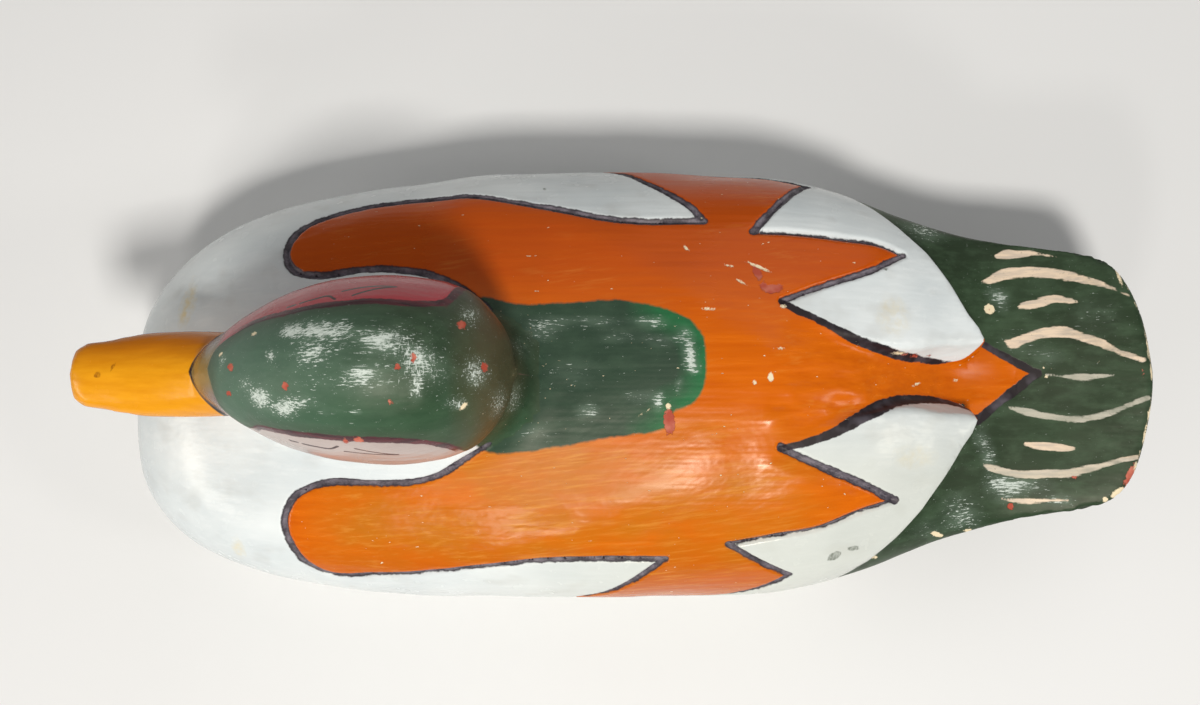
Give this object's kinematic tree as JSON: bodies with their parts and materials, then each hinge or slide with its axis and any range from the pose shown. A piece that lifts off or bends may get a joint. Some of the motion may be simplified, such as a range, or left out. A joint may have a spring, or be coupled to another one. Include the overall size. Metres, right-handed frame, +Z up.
{
  "type": "carved wooden duck",
  "caption": "Painted duck carved from a block of wood, with folded wings, a raised tail and a flat underside to stand on.",
  "frame": {"origin": "centre of the bounding box at the level of the flat underside", "axes": "-X towards the bill, +X towards the tail, +Y to the duck's right, +Z up"},
  "size_m": [0.33, 0.14, 0.1499],
  "materials": {
    "painted_wood": "hand-painted enamel in orange, green, white and yellow, worn and rubbed"
  },
  "bodies": {
    "root": {"carved_duck": "painted_wood"}
  },
  "joints": []
}
